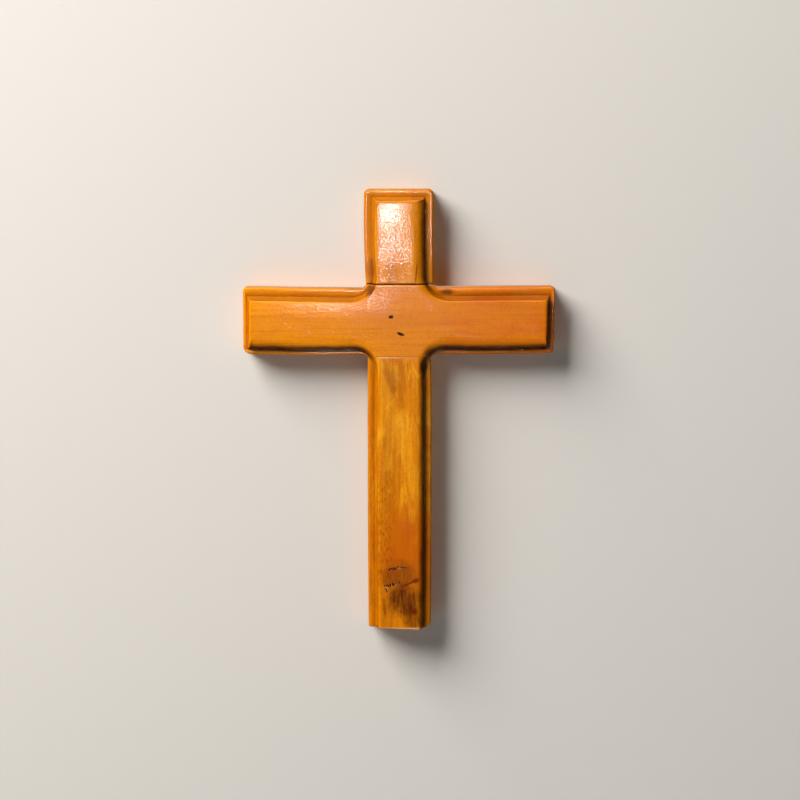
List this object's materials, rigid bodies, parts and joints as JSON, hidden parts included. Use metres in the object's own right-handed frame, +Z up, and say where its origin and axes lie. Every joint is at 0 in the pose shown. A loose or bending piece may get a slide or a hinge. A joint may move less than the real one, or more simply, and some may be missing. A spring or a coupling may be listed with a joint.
{
  "type": "wooden wall cross",
  "caption": "Plain wall cross of varnished wood, half-lapped from two planks, with a routed lip and groove along its edges and a hanging hole in its back.",
  "frame": {"origin": "on the flat back, behind the middle of the crossing, where the cross lies against the wall", "axes": "+Z up along the upright, +Y into the wall, so the front faces -Y; +X to the right seen from the front"},
  "size_m": [0.1688, 0.02, 0.24],
  "materials": {
    "crossbar_wood": "glossy honey-orange varnish, grain along the crossbar",
    "upright_wood": "glossy honey-orange varnish, grain along the upright, brown stain at the foot"
  },
  "bodies": {
    "root": {"crossbar": "crossbar_wood", "upright": "upright_wood"}
  },
  "joints": []
}
